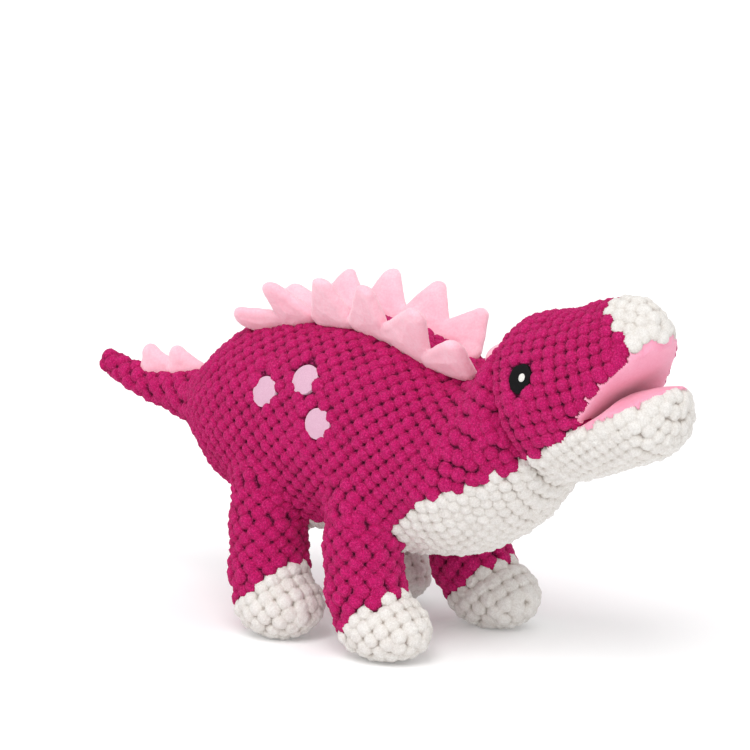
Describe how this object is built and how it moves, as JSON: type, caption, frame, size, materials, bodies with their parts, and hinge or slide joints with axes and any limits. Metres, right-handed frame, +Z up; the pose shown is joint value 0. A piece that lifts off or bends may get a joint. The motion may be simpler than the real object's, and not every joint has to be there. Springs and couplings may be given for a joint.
{
  "type": "stuffed dinosaur",
  "caption": "Standing stuffed dinosaur in bubble knit with an open fleece-lined mouth, padded fleece back spikes, a tapered tail and soft rounded feet.",
  "frame": {"origin": "on the floor, under the middle of the bounding box", "axes": "+X towards the head, +Y to the animal's left, +Z up"},
  "size_m": [0.3588, 0.1205, 0.1883],
  "materials": {
    "magenta_knit": "bubble knit pile",
    "white_knit": "bubble knit pile",
    "fleece_spikes": "short fleece",
    "mouth_fleece": "short fleece",
    "spot_embroidery": "satin stitch",
    "eye_embroidery": "satin stitch",
    "eye_glint_embroidery": "satin stitch",
    "stuffing": "polyester fibre"
  },
  "bodies": {
    "torso": {"torso_side_right": "magenta_knit", "torso_side_left": "magenta_knit", "back_gusset": "magenta_knit", "belly_panel": "white_knit", "rump_facing": "magenta_knit", "torso_stuffing": "stuffing", "back_spikes_right": "fleece_spikes", "back_spikes_left": "fleece_spikes", "spots_right": "spot_embroidery", "spots_left": "spot_embroidery"},
    "head": {"head_side_right": "magenta_knit", "head_side_left": "magenta_knit", "snout_tip": "white_knit", "palate_lining": "mouth_fleece", "chin_panel": "white_knit", "head_stuffing": "stuffing", "eye_right": "eye_embroidery", "eye_left": "eye_embroidery", "eye_glint_right": "eye_glint_embroidery", "eye_glint_left": "eye_glint_embroidery"},
    "jaw": {"jaw_cover": "white_knit", "jaw_lining": "mouth_fleece", "jaw_stuffing": "stuffing"},
    "tail": {"tail_side_right": "magenta_knit", "tail_side_left": "magenta_knit", "tail_stuffing": "stuffing", "tail_spikes": "fleece_spikes"},
    "front_right_leg_body": {"leg_front_right": "magenta_knit", "foot_front_right": "white_knit", "leg_stuffing_front_right": "stuffing"},
    "front_left_leg_body": {"leg_front_left": "magenta_knit", "foot_front_left": "white_knit", "leg_stuffing_front_left": "stuffing"},
    "hind_right_leg_body": {"leg_hind_right": "magenta_knit", "foot_hind_right": "white_knit", "leg_stuffing_hind_right": "stuffing"},
    "hind_left_leg_body": {"leg_hind_left": "magenta_knit", "foot_hind_left": "white_knit", "leg_stuffing_hind_left": "stuffing"}
  },
  "joints": [
    {"name": "head_nod", "type": "hinge", "parent": "torso", "child": "head", "pos_m": [0.09056, 0, 0.127], "axis": [0, 1, 0], "range_deg": [-12, 12], "stiffness_Nm_per_rad": 0.6},
    {"name": "jaw_hinge", "type": "hinge", "parent": "head", "child": "jaw", "pos_m": [0.13943, 0, 0.13103], "axis": [0, 1, 0], "range_deg": [-20, 10], "stiffness_Nm_per_rad": 0.08},
    {"name": "tail_wag", "type": "hinge", "parent": "torso", "child": "tail", "pos_m": [-0.11604, 0, 0.0955], "axis": [0, 0, 1], "range_deg": [-25, 25], "stiffness_Nm_per_rad": 0.05},
    {"name": "front_right_leg_swing", "type": "hinge", "parent": "torso", "child": "front_right_leg_body", "pos_m": [0.01156, -0.035, 0.074], "axis": [0, 1, 0], "range_deg": [-25, 7], "stiffness_Nm_per_rad": 0.5},
    {"name": "front_left_leg_swing", "type": "hinge", "parent": "torso", "child": "front_left_leg_body", "pos_m": [0.01156, 0.035, 0.074], "axis": [0, 1, 0], "range_deg": [-25, 7], "stiffness_Nm_per_rad": 0.5},
    {"name": "hind_right_leg_swing", "type": "hinge", "parent": "torso", "child": "hind_right_leg_body", "pos_m": [-0.04944, -0.032, 0.074], "axis": [0, 1, 0], "range_deg": [-7, 25], "stiffness_Nm_per_rad": 0.5},
    {"name": "hind_left_leg_swing", "type": "hinge", "parent": "torso", "child": "hind_left_leg_body", "pos_m": [-0.04944, 0.032, 0.074], "axis": [0, 1, 0], "range_deg": [-7, 25], "stiffness_Nm_per_rad": 0.5}
  ]
}
